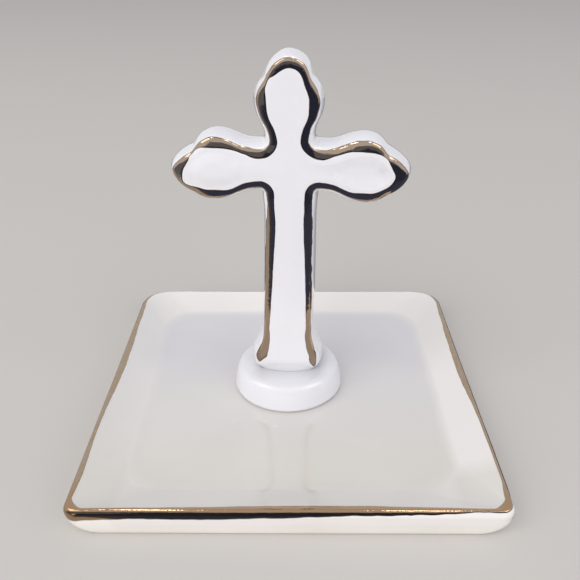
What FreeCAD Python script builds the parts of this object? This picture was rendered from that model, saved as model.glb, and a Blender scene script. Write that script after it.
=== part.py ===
"""Ring dish: a square glazed tray with a gold rim, and a gold-edged cross on a round pedestal.

Lengths are in millimetres. The origin is the middle of the tray on the table, +X runs to the
right, +Y to the back and +Z up.
"""
import FreeCAD, Part
import math
import os
from types import SimpleNamespace

import Sketcher

# Driving sizes, one cell each

SIZES = {
    # tray
    "dish_side": 103.4,
    "rim_height": 7.6,
    "floor_level": 3.8,
    "base_inset": 0.45,
    "base_edge_height": 0.9,
    "base_corner": 6.5,
    "rim_front_corner": 3.2,
    "rim_back_corner": 8.6,
    "crest_width": 1.9,
    "crest_round": 0.8,
    "cove_width": 11.0,
    "floor_corner": 5.0,
    # gold lustre skin, on the rim and on the cross
    "lustre_skin": 0.25,
    "rim_lustre_drop": 1.9,
    # pedestal
    "pedestal_set_back": 2.9,
    "pedestal_set_left": 0.6,
    "pedestal_radius": 15.6,
    "pedestal_height": 7.1,
    "pedestal_edge_height": 0.9,
    "pedestal_foot_inset": 0.4,
    "pedestal_shoulder_height": 5.3,
    "pedestal_shoulder_inset": 1.0,
    "pedestal_top_inset": 3.2,
    # beds of adhesive
    "bond_thickness": 0.3,
    "pedestal_bond_inset": 0.8,
    "cross_bond_inset": 0.5,
    # cross
    "cross_axis_height": 70.0,
    "arm_reach": 30.2,
    "top_reach": 27.5,
    "arm_neck_half": 5.9,
    "arm_corner_run": 7.0,
    "lobe_half": 8.75,
    "lobe_back": 11.4,
    "notch_half": 6.3,
    "notch_back": 6.2,
    "stem_top_half": 6.6,
    "stem_low_half": 7.0,
    "flare_top_height": 25.5,
    "flare_foot_height": 16.5,
    "foot_half": 9.8,
    "foot_bevel_height": 2.0,
    "band_depth": 4.4,
    "face_depth": 5.8,
    "side_draft": 1.5,
    "bevel_width": 1.8,
    # spare length that carries a cut clear of its piece
    "cut_overrun": 2.0,
}

# Bulge of an arc: the tangent of a quarter of the angle that it turns, positive to the left

QUARTER_TURN_SHARE = math.tan(math.pi / 8)
FLANK_BULGE_SHARE = 0.12
LOBE_BULGE_SHARE = 0.24
TIP_BULGE_SHARE = 0.27
FLARE_BULGE_SHARE = 0.12
PEDESTAL_FOOT_BULGE_SHARE = 0.15
PEDESTAL_SHOULDER_BULGE_SHARE = 0.35

# How far the notch and tip of an arm, and the low end and foot of the stem, follow an inset

NOTCH_RUN_SHARE = 0.45
NOTCH_HALF_SHARE = 0.75
TIP_INSET_SHARE = 1.1
STEM_LOW_SHARE = 0.6
FOOT_SHARE = 1.2

# The cove between the crest and the floor: how far down and how far in its bend lies

COVE_BEND_DROP_SHARE = 0.86
COVE_BEND_RUN_SHARE = 0.75


class Length:
    """A length that knows its present number and the sheet expression that gives it."""

    def __init__(self, number, text):
        self.number = number
        self.text = text

    def __add__(self, other):
        return Length(self.number + other.number, f"({self.text} + {other.text})")

    def __sub__(self, other):
        return Length(self.number - other.number, f"({self.text} - {other.text})")

    def __mul__(self, share):
        return Length(self.number * share, f"({self.text} * {share:.9f})")

    def __neg__(self):
        return self * -1


ZERO = Length(0.0, "0")


def make_sheet(doc):
    """Write the driving sizes to the sheet and give each one back as a Length."""
    sheet = doc.addObject("Spreadsheet::Sheet", "Sizes")
    for row, (alias, value) in enumerate(SIZES.items(), start=1):
        sheet.set(f"A{row}", alias)
        sheet.set(f"B{row}", str(value))
        sheet.setAlias(f"B{row}", alias)
    doc.recompute()
    return SimpleNamespace(
        **{alias: Length(sheet.get(alias), f"Sizes.{alias}") for alias in SIZES}
    )


# Bodies, sketches and features


def make_body(doc, label, back=ZERO, left=ZERO):
    """Start a sub-part, set back and to the left of the middle of the tray."""
    body = doc.addObject("PartDesign::Body", label)
    body.Label = label
    body.setExpression("Placement.Base.x", (-left).text)
    body.setExpression("Placement.Base.y", back.text)
    return body


def origin_plane(body, role):
    return next(feature for feature in body.Origin.OriginFeatures if feature.Role == role)


def middle(start, end, bulge):
    """Give the point halfway along the arc from start to end."""
    (x0, y0), (x1, y1) = start, end
    lean = bulge / 2
    return (x0 + x1) * 0.5 + (y1 - y0) * lean, (y0 + y1) * 0.5 - (x1 - x0) * lean


def vector(point):
    return FreeCAD.Vector(point[0].number, point[1].number, 0)


def edge(start, end, bulge):
    """A straight line, or an arc, which always runs to the left and so may run from end to start."""
    if not bulge:
        return Part.LineSegment(vector(start), vector(end))
    along = (start, middle(start, end, bulge), end)
    return Part.ArcOfCircle(*map(vector, along if bulge > 0 else reversed(along)))


def draw(body, name, plane, offset, corners):
    """Draw a closed outline on a plane of the body, each point bound to the sheet.

    A corner is x, y and the bulge of the stretch to the next corner, zero where that is straight.
    """
    sketch = body.newObject("Sketcher::SketchObject", name)
    sketch.AttachmentSupport = (origin_plane(body, plane), [""])
    sketch.MapMode = "FlatFace"
    sketch.setExpression("AttachmentOffset.Base.z", offset.text)

    points = [(x, y) for x, y, bulge in corners]
    spans = list(zip(points, points[1:] + points[:1], (bulge for x, y, bulge in corners)))
    halfways = [(index, middle(*span)) for index, span in enumerate(spans) if span[2]]
    firsts = [2 if bulge < 0 else 1 for start, end, bulge in spans]
    sketch.addGeometry([edge(*span) for span in spans], False)
    sketch.addGeometry([Part.Point(vector(halfway)) for index, halfway in halfways], True)

    links = []
    pins = [(index, firsts[index], point) for index, point in enumerate(points)]
    for index, first in enumerate(firsts):
        after = (index + 1) % len(firsts)
        links.append(Sketcher.Constraint("Coincident", index, 3 - first, after, firsts[after]))
    for mark, (index, halfway) in enumerate(halfways, start=len(spans)):
        links.append(Sketcher.Constraint("PointOnObject", mark, 1, index))
        pins.append((mark, 1, halfway))

    lengths = [
        (Sketcher.Constraint(kind, -1, 1, geo, spot, length.number), length.text)
        for geo, spot, point in pins
        for kind, length in zip(("DistanceX", "DistanceY"), point)
    ]
    sketch.addConstraint(links + [constraint for constraint, text in lengths])
    for index, (constraint, text) in enumerate(lengths, start=len(links)):
        sketch.setExpression(f"Constraints[{index}]", text)
    return sketch


def loft(body, kind, name, sketches):
    """Join outlines with straight rulings, adding to the body or cutting from it."""
    feature = body.newObject(f"PartDesign::{kind}", name)
    feature.Profile = sketches[0]
    feature.Sections = sketches[1:]
    feature.Ruled = True
    for sketch in sketches:
        sketch.Visibility = False
    return feature


def extrude(body, kind, name, sketch, length, reverse=False):
    """Pad or pocket one outline."""
    feature = body.newObject(f"PartDesign::{kind}", name)
    feature.Profile = sketch
    feature.setExpression("Length", length.text)
    feature.Reversed = reverse
    return feature


def mirror(body, features):
    """Repeat features of the right half on the left."""
    feature = body.newObject("PartDesign::Mirrored", "left_half")
    feature.Originals = features
    feature.MirrorPlane = (origin_plane(body, "YZ_Plane"), [""])
    body.Tip = feature
    return feature


# Outlines


def square(half, front_corner, back_corner):
    """A square about the middle with rounded corners, seen from above."""
    turn = QUARTER_TURN_SHARE
    front, back = half - front_corner, half - back_corner
    return [
        (-front, -half, 0),
        (front, -half, turn),
        (half, -front, 0),
        (half, back, turn),
        (back, half, 0),
        (-back, half, turn),
        (-half, back, 0),
        (-half, -front, turn),
    ]


def arm(size, reach, inset):
    """One arm, drawn from its right inner corner round its tip to its left inner corner."""
    lobe_run = reach - size.lobe_back
    neck = size.arm_neck_half - inset
    lobe = size.lobe_half - inset
    bend_run, bend = (size.arm_corner_run + lobe_run) * 0.5, (neck + lobe) * 0.5
    notch_run = reach - size.notch_back - inset * NOTCH_RUN_SHARE
    notch = size.notch_half - inset * NOTCH_HALF_SHARE
    return [
        (size.arm_corner_run, -neck, -FLANK_BULGE_SHARE),
        (bend_run, -bend, FLANK_BULGE_SHARE),
        (lobe_run, -lobe, LOBE_BULGE_SHARE),
        (notch_run, -notch, TIP_BULGE_SHARE),
        (reach - inset * TIP_INSET_SHARE, ZERO, TIP_BULGE_SHARE),
        (notch_run, notch, LOBE_BULGE_SHARE),
        (lobe_run, lobe, FLANK_BULGE_SHARE),
        (bend_run, bend, -FLANK_BULGE_SHARE),
        (size.arm_corner_run, neck, -QUARTER_TURN_SHARE),
    ]


def cross_outline(size, inset, bottom):
    """The right half of the cross from the front, drawn in by an inset, its stem cut off at bottom."""
    axis = size.cross_axis_height
    foot = size.foot_half - inset * FOOT_SHARE
    corner_height = axis - size.arm_corner_run - size.arm_neck_half + size.stem_top_half
    stem = [
        (foot, bottom, 0),
        (foot, size.flare_foot_height, -FLARE_BULGE_SHARE),
        (size.stem_low_half - inset * STEM_LOW_SHARE, size.flare_top_height, 0),
        (size.stem_top_half - inset, corner_height, -QUARTER_TURN_SHARE),
    ]
    side_arm = [(run, axis + across, bulge) for run, across, bulge in arm(size, size.arm_reach, inset)]
    top_arm = [(-across, axis + run, bulge) for run, across, bulge in arm(size, size.top_reach, inset)]
    tip = len(top_arm) // 2
    tip_x, tip_height, bulge = top_arm[tip]
    return stem + side_arm + top_arm[:tip] + [(tip_x, tip_height, 0), (tip_x, bottom, 0)]


# Sub-parts


def dish_levels(size):
    """The outer outline of the glazed tray at each bend of its wall, as half width and height."""
    half = size.dish_side * 0.5
    wall = half - size.lustre_skin
    top = size.rim_height - size.lustre_skin
    return SimpleNamespace(
        half=half,
        wall=wall,
        top=top,
        shoulder=top - size.crest_round,
        crest=wall - size.crest_round,
        crest_inside=half - size.crest_width,
        lustre_foot=size.rim_height - size.rim_lustre_drop,
    )


def rim_square(size, half):
    """The rim outline at a given half width, its corners drawn in with it."""
    inset = size.dish_side * 0.5 - half
    return square(half, size.rim_front_corner - inset, size.rim_back_corner - inset)


def make_dish(doc, size):
    """The tray: walls on a rounded base, with a broad cove down to a flat floor."""
    level = dish_levels(size)
    body = make_body(doc, "dish")
    base = square(level.wall - size.base_inset, size.base_corner, size.base_corner)
    edge = square(level.wall, size.base_corner, size.base_corner)
    walls = [
        ("base", ZERO, base),
        ("base_edge", size.base_edge_height, edge),
        ("lustre_foot", level.lustre_foot, rim_square(size, level.wall)),
        ("shoulder", level.shoulder, rim_square(size, level.wall)),
        ("crest", level.top, rim_square(size, level.crest)),
    ]
    loft(body, "AdditiveLoft", "wall",
         [draw(body, name, "XY_Plane", height, outline) for name, height, outline in walls])

    depth = level.top - size.floor_level
    bend = level.crest_inside - size.cove_width * COVE_BEND_RUN_SHARE
    bend_level = level.top - depth * COVE_BEND_DROP_SHARE
    floor = level.crest_inside - size.cove_width
    hollow = [
        ("floor", size.floor_level, square(floor, size.floor_corner, size.floor_corner)),
        ("cove_bend", bend_level, square(bend, size.floor_corner, size.floor_corner)),
        ("cove_top", level.top, rim_square(size, level.crest_inside)),
    ]
    loft(body, "SubtractiveLoft", "cove",
         [draw(body, name, "XY_Plane", height, outline) for name, height, outline in hollow])
    return body


def make_dish_gold_rim(doc, size):
    """The lustre skin on the crest of the rim and the top of the outer wall."""
    level = dish_levels(size)
    body = make_body(doc, "dish_gold_rim")
    outside = [
        ("skin_foot", level.lustre_foot, level.half),
        ("skin_shoulder", level.shoulder, level.half),
        ("skin_crest", size.rim_height, level.half - size.crest_round),
    ]
    inside = [
        ("wall_foot", level.lustre_foot, level.wall),
        ("wall_shoulder", level.shoulder, level.wall),
        ("wall_crest", level.top, level.crest),
    ]
    for kind, name, rings in (("AdditiveLoft", "skin", outside), ("SubtractiveLoft", "tray", inside)):
        loft(body, kind, name,
             [draw(body, ring, "XY_Plane", height, rim_square(size, half)) for ring, height, half in rings])
    window = draw(body, "window", "XY_Plane", level.lustre_foot, rim_square(size, level.crest_inside))
    extrude(body, "Pocket", "opening", window, size.rim_lustre_drop + size.cut_overrun, reverse=True)
    return body


def stack_levels(size):
    """Heights of the stack that carries the cross, and the insets of its bevel."""
    seat = size.floor_level + size.bond_thickness
    top = seat + size.pedestal_height
    foot = top + size.bond_thickness
    return SimpleNamespace(
        seat=seat,
        top=top,
        foot=foot,
        face_foot=foot + size.foot_bevel_height,
        band=size.side_draft,
        face=size.side_draft + size.bevel_width,
    )


def disc(radius):
    """A full circle as two half turns."""
    return [(radius, ZERO, 1), (-radius, ZERO, 1)]


def make_pedestal_bond(doc, size):
    """The bed of adhesive under the pedestal, set in from the pedestal's foot."""
    body = make_body(doc, "pedestal_bond", size.pedestal_set_back, size.pedestal_set_left)
    radius = size.pedestal_radius - size.pedestal_foot_inset - size.pedestal_bond_inset
    bed = draw(body, "bed", "XY_Plane", size.floor_level, disc(radius))
    extrude(body, "Pad", "layer", bed, size.bond_thickness)
    return body


def make_pedestal(doc, size):
    """The round foot: widest just above its rounded edge, tapering to a full shoulder and a flat top."""
    level = stack_levels(size)
    body = make_body(doc, "pedestal", size.pedestal_set_back, size.pedestal_set_left)
    profile = draw(body, "profile", "XZ_Plane", ZERO, [
        (ZERO, level.seat, 0),
        (size.pedestal_radius - size.pedestal_foot_inset, level.seat, PEDESTAL_FOOT_BULGE_SHARE),
        (size.pedestal_radius, level.seat + size.pedestal_edge_height, 0),
        (size.pedestal_radius - size.pedestal_shoulder_inset, level.seat + size.pedestal_shoulder_height,
         PEDESTAL_SHOULDER_BULGE_SHARE),
        (size.pedestal_radius - size.pedestal_top_inset, level.top, 0),
        (ZERO, level.top, 0),
    ])
    turned = body.newObject("PartDesign::Revolution", "turned")
    turned.Profile = profile
    turned.ReferenceAxis = (profile, ["V_Axis"])
    turned.Angle = 360
    return body


def make_cross_bond(doc, size):
    """The bed of adhesive under the cross, set in from the foot of the stem."""
    level = stack_levels(size)
    body = make_body(doc, "cross_bond", size.pedestal_set_back)
    half = size.foot_half - level.band * FOOT_SHARE - size.cross_bond_inset
    deep = size.band_depth - size.cross_bond_inset
    bed = draw(body, "bed", "XY_Plane", level.top, [
        (-half, -deep, 0),
        (half, -deep, 0),
        (half, deep, 0),
        (-half, deep, 0),
    ])
    extrude(body, "Pad", "layer", bed, size.bond_thickness)
    return body


def make_cross(doc, size):
    """The cross: sides that slope in from the middle plane, and a bevel round each flat face."""
    level = stack_levels(size)
    body = make_body(doc, "cross", size.pedestal_set_back)
    sections = [
        ("back_face", -size.face_depth, level.face, level.face_foot),
        ("back_band", -size.band_depth, level.band, level.foot),
        ("middle_plane", ZERO, ZERO, level.foot),
        ("front_band", size.band_depth, level.band, level.foot),
        ("front_face", size.face_depth, level.face, level.face_foot),
    ]
    casting = loft(body, "AdditiveLoft", "casting", [
        draw(body, name, "XZ_Plane", ahead, cross_outline(size, inset, bottom))
        for name, ahead, inset, bottom in sections
    ])
    mirror(body, [casting])
    return body


def make_cross_gold_outline(doc, size):
    """The lustre skin on the front bevel, from one side of the foot round to the other."""
    level = stack_levels(size)
    body = make_body(doc, "cross_gold_outline", size.pedestal_set_back)
    skin = size.lustre_skin
    outside = [
        ("skin_band", size.band_depth, level.band - skin, level.face_foot),
        ("skin_face", size.face_depth + skin, level.face - skin, level.face_foot),
    ]
    inside = [
        ("front_band", size.band_depth, level.band, level.foot),
        ("front_face", size.face_depth, level.face, level.face_foot),
    ]
    half = [
        loft(body, kind, name, [
            draw(body, ring, "XZ_Plane", ahead, cross_outline(size, inset, bottom))
            for ring, ahead, inset, bottom in rings
        ])
        for kind, name, rings in (("AdditiveLoft", "skin", outside), ("SubtractiveLoft", "bevel", inside))
    ]
    window = draw(body, "window", "XZ_Plane", size.face_depth, cross_outline(size, level.face, level.foot))
    half.append(extrude(body, "Pocket", "opening", window, skin + size.cut_overrun, reverse=True))
    mirror(body, half)
    return body


def check(doc, bodies):
    """Stop where a feature failed or a sub-part isn't one sound solid."""
    for thing in doc.Objects:
        if {"Invalid", "Error"} & set(thing.State):
            raise RuntimeError(f"{thing.Name} failed: {thing.State}")
    for body in bodies:
        shape = body.Shape
        if shape.isNull() or not shape.isValid() or len(shape.Solids) != 1:
            raise RuntimeError(f"{body.Label} isn't one sound solid")
        box = shape.optimalBoundingBox()
        print(
            f"{body.Label}: volume {shape.Volume:.1f}, "
            f"X {box.XMin:.2f} to {box.XMax:.2f}, "
            f"Y {box.YMin:.2f} to {box.YMax:.2f}, "
            f"Z {box.ZMin:.2f} to {box.ZMax:.2f}"
        )


def main():
    doc = FreeCAD.newDocument("ring_dish")
    size = make_sheet(doc)
    makers = (
        make_dish,
        make_dish_gold_rim,
        make_pedestal_bond,
        make_pedestal,
        make_cross_bond,
        make_cross,
        make_cross_gold_outline,
    )
    bodies = [make(doc, size) for make in makers]
    doc.recompute()
    check(doc, bodies)
    os.makedirs("parts", exist_ok=True)
    for body in bodies:
        body.Shape.exportStep(f"parts/{body.Label}.step")


main()
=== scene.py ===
import math

import bmesh
import bpy
import numpy as np
from bpy.props import FloatProperty, FloatVectorProperty, PointerProperty
from mathutils import Matrix, Vector, geometry, noise


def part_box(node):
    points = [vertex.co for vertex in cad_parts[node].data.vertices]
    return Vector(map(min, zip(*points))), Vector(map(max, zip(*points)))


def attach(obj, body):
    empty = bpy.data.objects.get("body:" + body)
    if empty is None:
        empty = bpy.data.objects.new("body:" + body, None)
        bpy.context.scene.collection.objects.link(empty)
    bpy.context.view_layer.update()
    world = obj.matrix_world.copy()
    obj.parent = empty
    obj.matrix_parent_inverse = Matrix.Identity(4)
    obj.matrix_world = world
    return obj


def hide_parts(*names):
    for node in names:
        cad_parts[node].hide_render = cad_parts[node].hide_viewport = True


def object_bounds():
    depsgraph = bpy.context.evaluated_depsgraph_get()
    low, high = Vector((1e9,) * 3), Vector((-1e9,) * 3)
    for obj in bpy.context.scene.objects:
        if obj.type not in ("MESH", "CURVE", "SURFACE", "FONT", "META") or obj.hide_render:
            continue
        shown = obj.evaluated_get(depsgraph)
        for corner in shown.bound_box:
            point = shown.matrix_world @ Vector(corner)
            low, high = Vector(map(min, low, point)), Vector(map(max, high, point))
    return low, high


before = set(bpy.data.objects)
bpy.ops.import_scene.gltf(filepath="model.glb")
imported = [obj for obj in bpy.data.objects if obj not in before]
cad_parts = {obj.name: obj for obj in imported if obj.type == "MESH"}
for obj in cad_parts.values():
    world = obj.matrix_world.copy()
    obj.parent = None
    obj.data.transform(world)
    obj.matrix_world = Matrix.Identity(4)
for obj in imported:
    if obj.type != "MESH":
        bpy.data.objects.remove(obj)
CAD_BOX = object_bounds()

bl_info = {
    "name": "Ring Dish",
    "version": (1, 0, 0),
    "blender": (4, 5, 0),
    "location": "3D View > Sidebar > Ring Dish",
    "description": "Dresses the packed ring dish in glazed ceramic and painted gold lustre",
    "category": "Object",
}

MM = 0.001

# Bulge of an arc: the tangent of a quarter of the angle that it turns, positive to the left.
QUARTER_TURN = math.tan(math.pi / 8)
FLANK_BULGE = 0.12
LOBE_BULGE = 0.24
TIP_BULGE = 0.27

# Rows of points across the painted gold.
RIM_GOLD_ROWS = 17
CROSS_GOLD_ROWS = 15

# How low the gold of the cross runs on the left and on the right of its foot.
GOLD_END_LEFT = 14.2 * MM
GOLD_END_RIGHT = 13.2 * MM

# How deep the notches are, as shares: under the side arm, over it, and beside the top arm's tip.
RIGHT_NOTCHES = (0.7, 1.8, 0.8)
LEFT_NOTCHES = (0.6, 2.5, 1.6)

# Where the gold outline of the cross runs thin: place across and up and spread, in millimetres, and the share
# of its width that is missing.
THIN_SPOTS = (
    (-22.9, 74.6, 2.0, 0.80),
    (-5.3, 91.0, 1.9, 0.62),
    (23.3, 74.0, 1.8, 0.35),
    (-26.0, 66.2, 2.6, 0.62),
    (-14.9, 65.0, 2.4, 0.16),
    (15.0, 65.0, 2.4, 0.12),
    (2.0, 94.0, 4.0, 0.20),
)

# Where the outline of the cross strays from its even course: place across and up, spread, and push across and
# up, all in millimetres.
PUSHES = (
    (0.0, 97.0, 4.0, 0.0, 0.12),
    (3.2, 94.6, 2.8, 0.5, 0.5),
    (-7.5, 86.5, 4.0, 0.55, 0.0),
    (-6.5, 75.2, 4.0, -0.3, 0.45),
    (6.0, 75.2, 4.0, 0.35, 0.6),
    (17.5, 77.0, 4.5, 0.0, -0.3),
    (26.0, 72.5, 4.0, -0.75, -0.6),
    (-27.0, 72.5, 4.0, 0.6, -0.4),
    (-5.5, 64.0, 4.0, -0.5, 0.0),
    (5.5, 64.0, 4.0, 0.5, 0.0),
)

# The pedestal's side from its widest place to its top, as shares of the top's inset and of the height.
PEDESTAL_SIDE = (
    (0, 0.12), (0.03, 0.25), (0.075, 0.42), (0.13, 0.60), (0.20, 0.75), (0.30, 0.87), (0.44, 0.945),
    (0.63, 0.982), (0.82, 0.995),
)

# The squeezed edge of a bond, from its underside to its top, as shares of its reach and height.
BEAD = (
    (0.1, 0), (0.6, 0), (0.93, 0), (0.985, 0.15), (1.0, 0.45), (0.99, 0.8), (0.95, 1), (0.6, 1), (0.1, 1),
)

# Each lamp's name, place and size in metres, setting of its power, tint, and whether it is only a glint.
LAMPS = (
    ("key_lamp", (-1.00, -1.02, 0.90), 1.75, "key_power", (1.0, 0.985, 0.965), False),
    ("fill_lamp", (1.05, -0.85, 0.60), 1.40, "fill_power", (0.97, 0.98, 1.0), False),
    ("left_window", (-0.42, -0.06, 0.60), 0.34, "window_power", (1.0, 0.97, 0.93), True),
    ("right_window", (0.40, -0.06, 0.60), 0.34, "window_power", (1.0, 0.97, 0.93), True),
    ("left_spot", (-0.22, 0.10, 0.90), 0.10, "spot_power", (1.0, 0.98, 0.95), True),
    ("right_spot", (0.20, 0.06, 0.90), 0.10, "spot_power", (1.0, 0.98, 0.95), True),
)

_, TRAY_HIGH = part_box("dish")
PEDESTAL_LOW, PEDESTAL_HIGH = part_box("pedestal")
PEDESTAL_BOND_LOW, PEDESTAL_BOND_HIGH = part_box("pedestal_bond")
CROSS_BOND_LOW, CROSS_BOND_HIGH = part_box("cross_bond")
CROSS_LOW, CROSS_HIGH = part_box("cross")


# Settings


def length(name, description, millimetres):
    """A size, given in millimetres and kept in metres."""
    return FloatProperty(name=name, description=description, default=millimetres * MM, unit="LENGTH",
                         precision=5)


def share(name, description, default):
    """A share of a whole."""
    return FloatProperty(name=name, description=description, default=default, min=0, max=1,
                         subtype="FACTOR")


def angle(name, description, degrees):
    """An angle, given in degrees."""
    return FloatProperty(name=name, description=description, default=math.radians(degrees), unit="ROTATION")


def power(name, description, watts):
    """The power of a lamp."""
    return FloatProperty(name=name, description=description, default=watts, unit="POWER")


def colour(name, description, red, green, blue):
    """A colour, given as it looks on a screen, from 0 to 255."""
    def linear(level):
        level /= 255
        return level / 12.92 if level <= 0.04045 else ((level + 0.055) / 1.055) ** 2.4
    return FloatVectorProperty(name=name, description=description, subtype="COLOR", size=3, min=0, max=1,
                               default=(linear(red), linear(green), linear(blue)))


class RingDishTray(bpy.types.PropertyGroup):
    """Sizes of the glazed tray and of the gold on its rim."""
    floor_level: length("Floor level", "Height of the tray's floor", 3.8)
    foot_round: length("Foot round", "Radius of the edge that the tray stands on", 1.1)
    wall_lean: length("Wall lean", "How far the wall leans out from foot to rim", 0.2)
    crest_width: length("Crest width", "Width of the rounded top of the rim", 2.2)
    cove_width: length("Cove width", "Width of the slope from rim to floor", 10.6)
    base_corner: length("Base corner", "Corner radius at the foot", 11.5)
    front_corner: length("Front corner", "Corner radius of the rim at the front", 3.2)
    back_corner: length("Back corner", "Corner radius of the rim at the back", 8.6)
    floor_corner: length("Floor corner", "Corner radius where the slope meets the floor", 10.0)
    rim_wave: length("Rim wave", "How much the rim rises and falls", 0.32)
    side_wave: length("Side wave", "How much the sides swell in and out", 0.22)
    floor_wave: length("Floor wave", "How uneven the glazed floor is", 0.05)
    gold_inside: length("Gold inside", "How far the gold runs down inside the rim", 1.3)
    gold_outside: length("Gold outside", "How far the gold runs down outside the rim", 2.5)
    gold_thickness: length("Gold thickness", "Thickness of the painted gold", 0.09)


class RingDishPedestal(bpy.types.PropertyGroup):
    """Sizes of the round pedestal and of the two thin bonds."""
    foot_inset: length("Foot inset", "How far the pedestal draws in at its foot", 0.4)
    top_inset: length("Top inset", "How far the pedestal draws in at its top", 5.2)
    wobble: length("Wobble", "How far the pedestal is from a true round", 0.18)
    bond_wobble: length("Bond wobble", "How uneven the squeezed edge of a bond is", 0.25)


class RingDishCross(bpy.types.PropertyGroup):
    """Sizes of the cross and of its gold outline."""
    axis_height: length("Axis height", "Height of the middle of the arms", 70.0)
    neck_half: length("Neck half width", "Half the width of an arm at its neck", 5.9)
    corner_run: length("Corner run", "Where an arm leaves the rounded inner corner", 7.0)
    lobe_half: length("Lobe half width", "Half the width of an arm at its lobe", 8.75)
    lobe_back: length("Lobe back", "How far the lobe lies behind the arm's tip", 11.4)
    notch_half: length("Notch half width", "Half the width of an arm at its notch", 6.3)
    notch_back: length("Notch back", "How far the notch lies behind the arm's tip", 6.2)
    stem_top_half: length("Stem top half width", "Half the width of the stem at its top", 6.6)
    stem_low_half: length("Stem low half width", "Half the width of the stem above its flare", 7.0)
    foot_half: length("Foot half width", "Half the width of the stem at its foot", 9.8)
    flare_top: length("Flare top", "Height at which the stem starts to flare", 25.5)
    flare_foot: length("Flare foot", "Height at which the flare is full", 16.5)
    foot_bevel: length("Foot bevel", "Height of the bare bevel at the foot", 2.0)
    band_inset: length("Band inset", "Inset of the painted band's outer edge", 1.5)
    face_inset: length("Face inset", "Inset of the flat face", 3.3)
    band_lean: share("Band lean", "Extra slope of the painted band where it faces up", 0.13)
    face_crown: length("Face crown", "How far the face swells out in its middle", 0.08)
    foot_round: length("Foot round", "Radius of the foot's lower corners", 1.6)
    foot_edge: length("Foot edge", "How far the foot's lower edge is rounded back", 1.1)
    edge_height: length("Foot edge height", "Height at which that rounding starts", 2.4)
    twist: angle("Twist", "How far the cross is turned, its right arm towards the front", 2.6)
    arm_droop: share("Arm droop", "Fall of the crossbar from left to right, as a slope", 0.008)
    foot_shift: length("Foot shift", "How far the foot stands to the left", 0.65)
    arm_shift: length("Arm shift", "How far the crossbar stands to the right", 0.15)
    top_shift: length("Top shift", "How far the top arm leans to the left", 0.5)
    stem_bow: length("Stem bow", "How far the stem bows back above its foot", 0.5)
    gold_thickness: length("Gold thickness", "Thickness of the painted gold", 0.09)


class RingDishFinish(bpy.types.PropertyGroup):
    """Colours of the glazes, the gold and the bond."""
    tray_white: colour("Tray white", "Glaze of the tray", 250, 245, 241)
    # Also the tone of the painted shade on the tray's slopes and low on its wall.
    tray_cream: colour("Tray cream", "Glaze where it has pooled on the tray", 231, 226, 217)
    # A painted cool cast of the bluish light that falls on the back of the tray.
    tray_cool: colour("Tray cool cream", "Pooled glaze towards the back of the tray", 231, 228, 231)
    cross_white: colour("Cross white", "Glaze of the cross and pedestal", 243, 242, 246)
    # Darkened, this tone is also the painted shade in the joint of cross and pedestal.
    cross_cool: colour("Cross cool white", "Thicker glaze on the cross and pedestal", 241, 240, 244)
    bare_clay: colour("Bare clay", "Unglazed underside", 222, 212, 198)
    rim_gold: colour("Rim gold", "Gold lustre on the tray's rim", 170, 140, 109)
    # At its painted edges this is thin, worn gold; on the rim's sides it is a painted pale reflection of the
    # bluish surroundings.
    rim_worn_and_reflected: colour("Worn rim gold", "Paler gold on the sides and at its painted edges", 172, 155, 133)
    cross_gold: colour("Cross gold", "Paler gold lustre on the cross", 180, 159, 138)
    cross_worn: colour("Worn cross gold", "Thin gold at its painted edges", 140, 117, 95)
    bond: colour("Bond", "Dried adhesive", 176, 168, 156)


class RingDishStage(bpy.types.PropertyGroup):
    """The camera, the lamps and the floor."""
    camera_place: FloatVectorProperty(name="Camera place", description="Where the camera stands", size=3,
                                      subtype="TRANSLATION", default=(0.00126, -0.15888, 0.12380))
    camera_pitch: angle("Camera pitch", "How far the camera looks down", 28.986)
    camera_yaw: angle("Camera yaw", "How far the camera looks to the right", -0.457)
    camera_roll: angle("Camera roll", "How far the camera is turned about its line of sight", 0.147)
    camera_lens: FloatProperty(name="Camera lens", default=41.894,
                               description="Focal length in millimetres on a 36 mm frame")
    floor_colour: colour("Floor", "Floor under the dish", 222, 218, 213)
    sky_colour: colour("Surroundings", "Soft light from all round", 238, 239, 244)
    card_colour: colour("Dark card", "Card in front that the gold reflects", 75, 88, 124)
    side_card_colour: colour("Grey card", "Card above and beside the dark one", 164, 174, 194)
    mat_colour: colour("Dark mat", "Mat round the dish that the gold reflects", 100, 102, 113)
    sky_strength: FloatProperty(name="Surroundings strength", default=0.545,
                                description="Strength of the light from all round")
    key_power: power("Key power", "Power of the main lamp", 17.4)
    fill_power: power("Fill power", "Power of the soft lamp on the right", 6.9)
    window_power: power("Window power", "Power of each lamp at the sides that shows as a glint", 0.80)
    spot_power: power("Spot power", "Power of each small lamp overhead that shows as a glint", 0.5)


class RingDishSettings(bpy.types.PropertyGroup):
    """All settings of the ring dish."""
    tray: PointerProperty(type=RingDishTray)
    pedestal: PointerProperty(type=RingDishPedestal)
    cross: PointerProperty(type=RingDishCross)
    finish: PointerProperty(type=RingDishFinish)
    stage: PointerProperty(type=RingDishStage)


# Curves


def smooth_step(low, high, value):
    """Rises smoothly from 0 at low to 1 at high."""
    part = np.clip((np.asarray(value, float) - low) / (high - low), 0, 1)
    return part * part * (3 - 2 * part)


def rise(low, high, value):
    """Rises smoothly from 0 to 1 between two places given in millimetres."""
    return smooth_step(low * MM, high * MM, value)


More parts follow.
